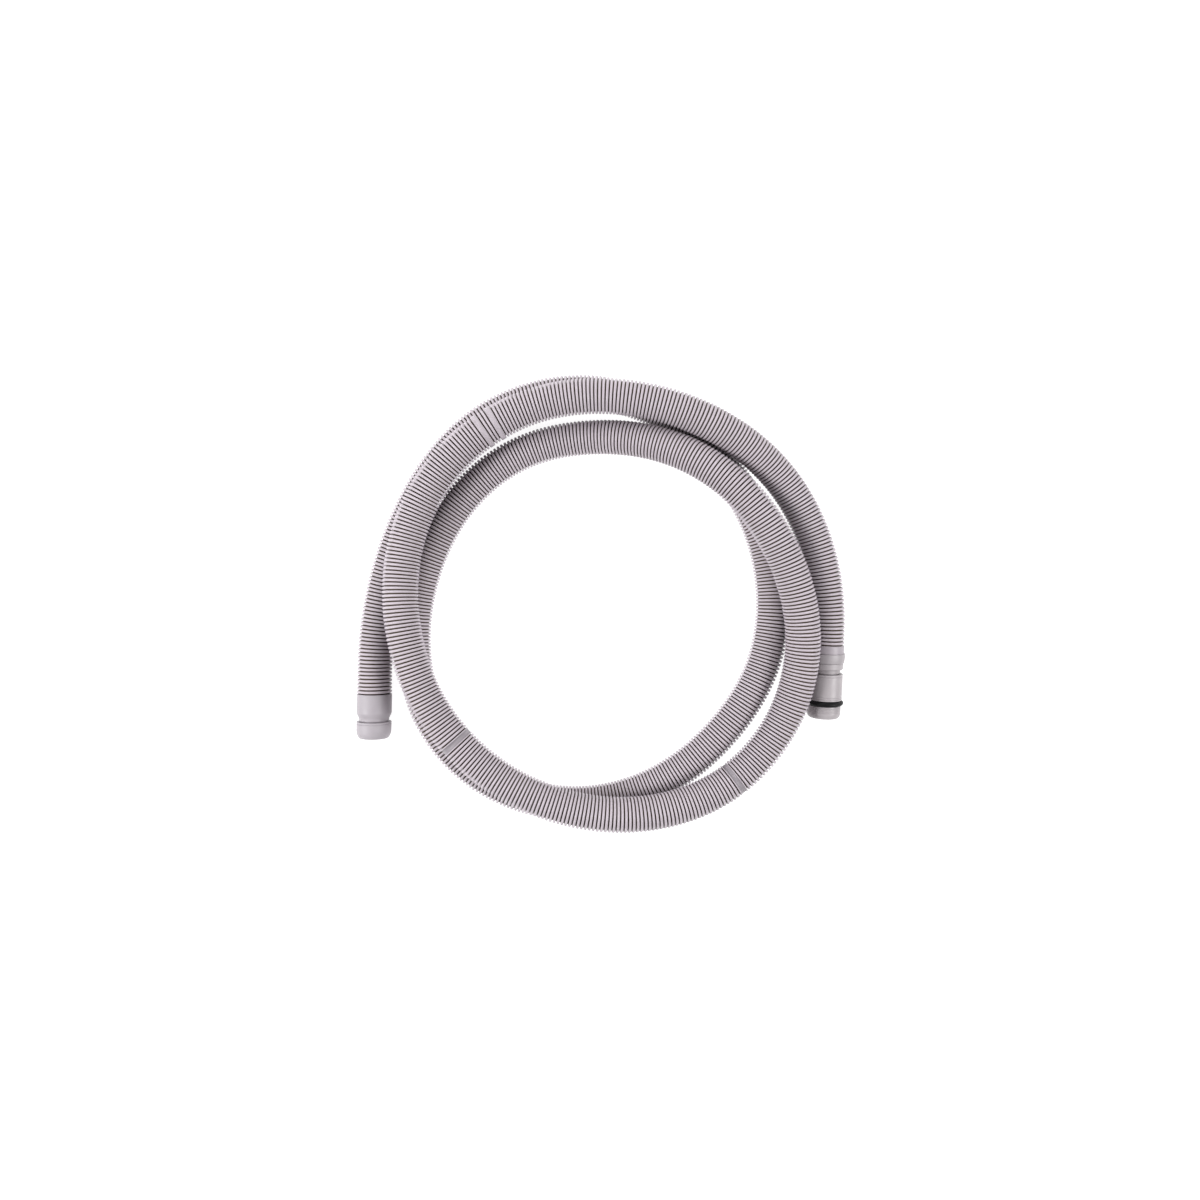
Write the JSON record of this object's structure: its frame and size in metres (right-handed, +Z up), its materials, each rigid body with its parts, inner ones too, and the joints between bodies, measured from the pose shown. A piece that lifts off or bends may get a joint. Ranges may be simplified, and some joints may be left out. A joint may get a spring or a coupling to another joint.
{
  "type": "dishwasher drain hose",
  "caption": "Corrugated drain hose lying in a loose coil, with a soft clamp cuff at its outlet end and a rigid push-in spigot with an O-ring at its inlet end.",
  "frame": {"origin": "on the floor under the middle of the coil's overall box", "axes": "+X to the right of the coil, from the outlet cuff's side to the inlet spigot's side; +Y away from the mouths of both ends; +Z up from the floor"},
  "size_m": [0.3216, 0.2962, 0.046],
  "materials": {
    "hose_plastic": "satin warm grey blown plastic",
    "cuff_plastic": "satin grey soft moulded plastic",
    "ring_plastic": "satin grey moulded plastic",
    "spigot_plastic": "satin grey rigid moulded plastic",
    "seal_rubber": "smooth black rubber"
  },
  "bodies": {
    "root": {"hose": "hose_plastic", "outlet_cuff": "cuff_plastic", "clamp_ring": "ring_plastic", "inlet_spigot": "spigot_plastic", "o_ring": "seal_rubber"}
  },
  "joints": []
}
